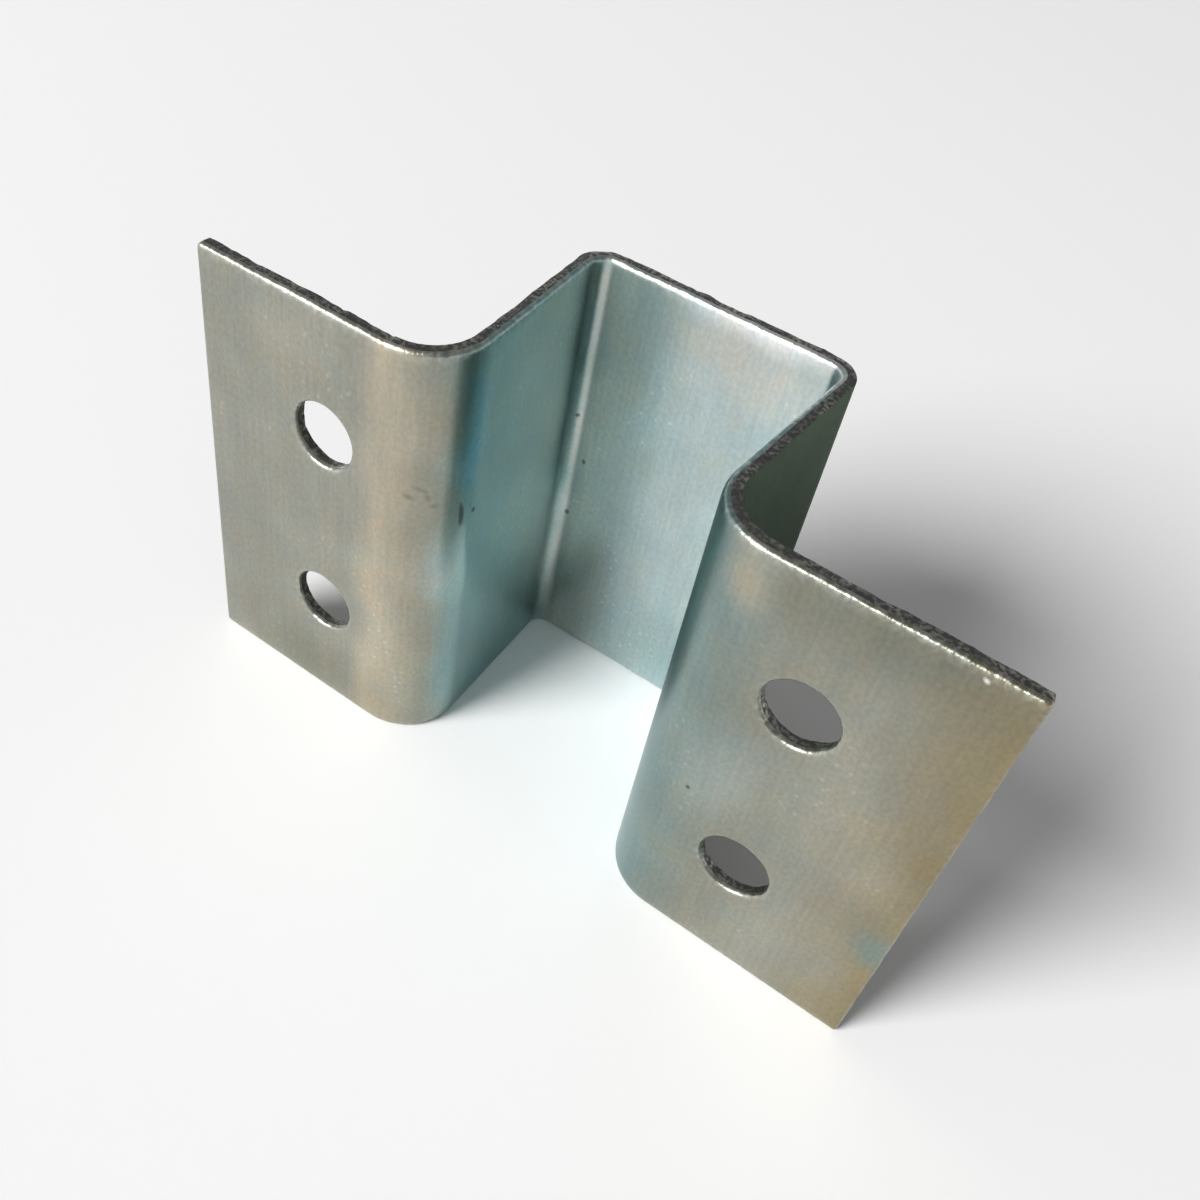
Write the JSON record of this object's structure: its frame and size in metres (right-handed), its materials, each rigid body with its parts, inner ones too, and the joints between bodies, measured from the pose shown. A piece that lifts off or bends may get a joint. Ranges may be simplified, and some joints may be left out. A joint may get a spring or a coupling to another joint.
{
  "type": "stamped metal bracket",
  "caption": "Hat-section bracket folded from one strip of zinc-plated sheet: a square channel between two flat flanges, each pierced with round bolt holes.",
  "frame": {"origin": "middle of the footprint, on the surface that the bracket stands on when set down on one sheared edge", "axes": "+Z along the bend lines; X from one flange to the other; -Y out of the open side of the channel, which is the way the flanges' bearing faces look; +Y towards the crown"},
  "size_m": [0.064, 0.0212, 0.04],
  "materials": {
    "zinc_plate": "satin blue-white zinc plating with a faint tan, olive and blue tint, darker sheared edges, small pits and handling marks"
  },
  "bodies": {
    "root": {"bracket": "zinc_plate"}
  },
  "joints": []
}
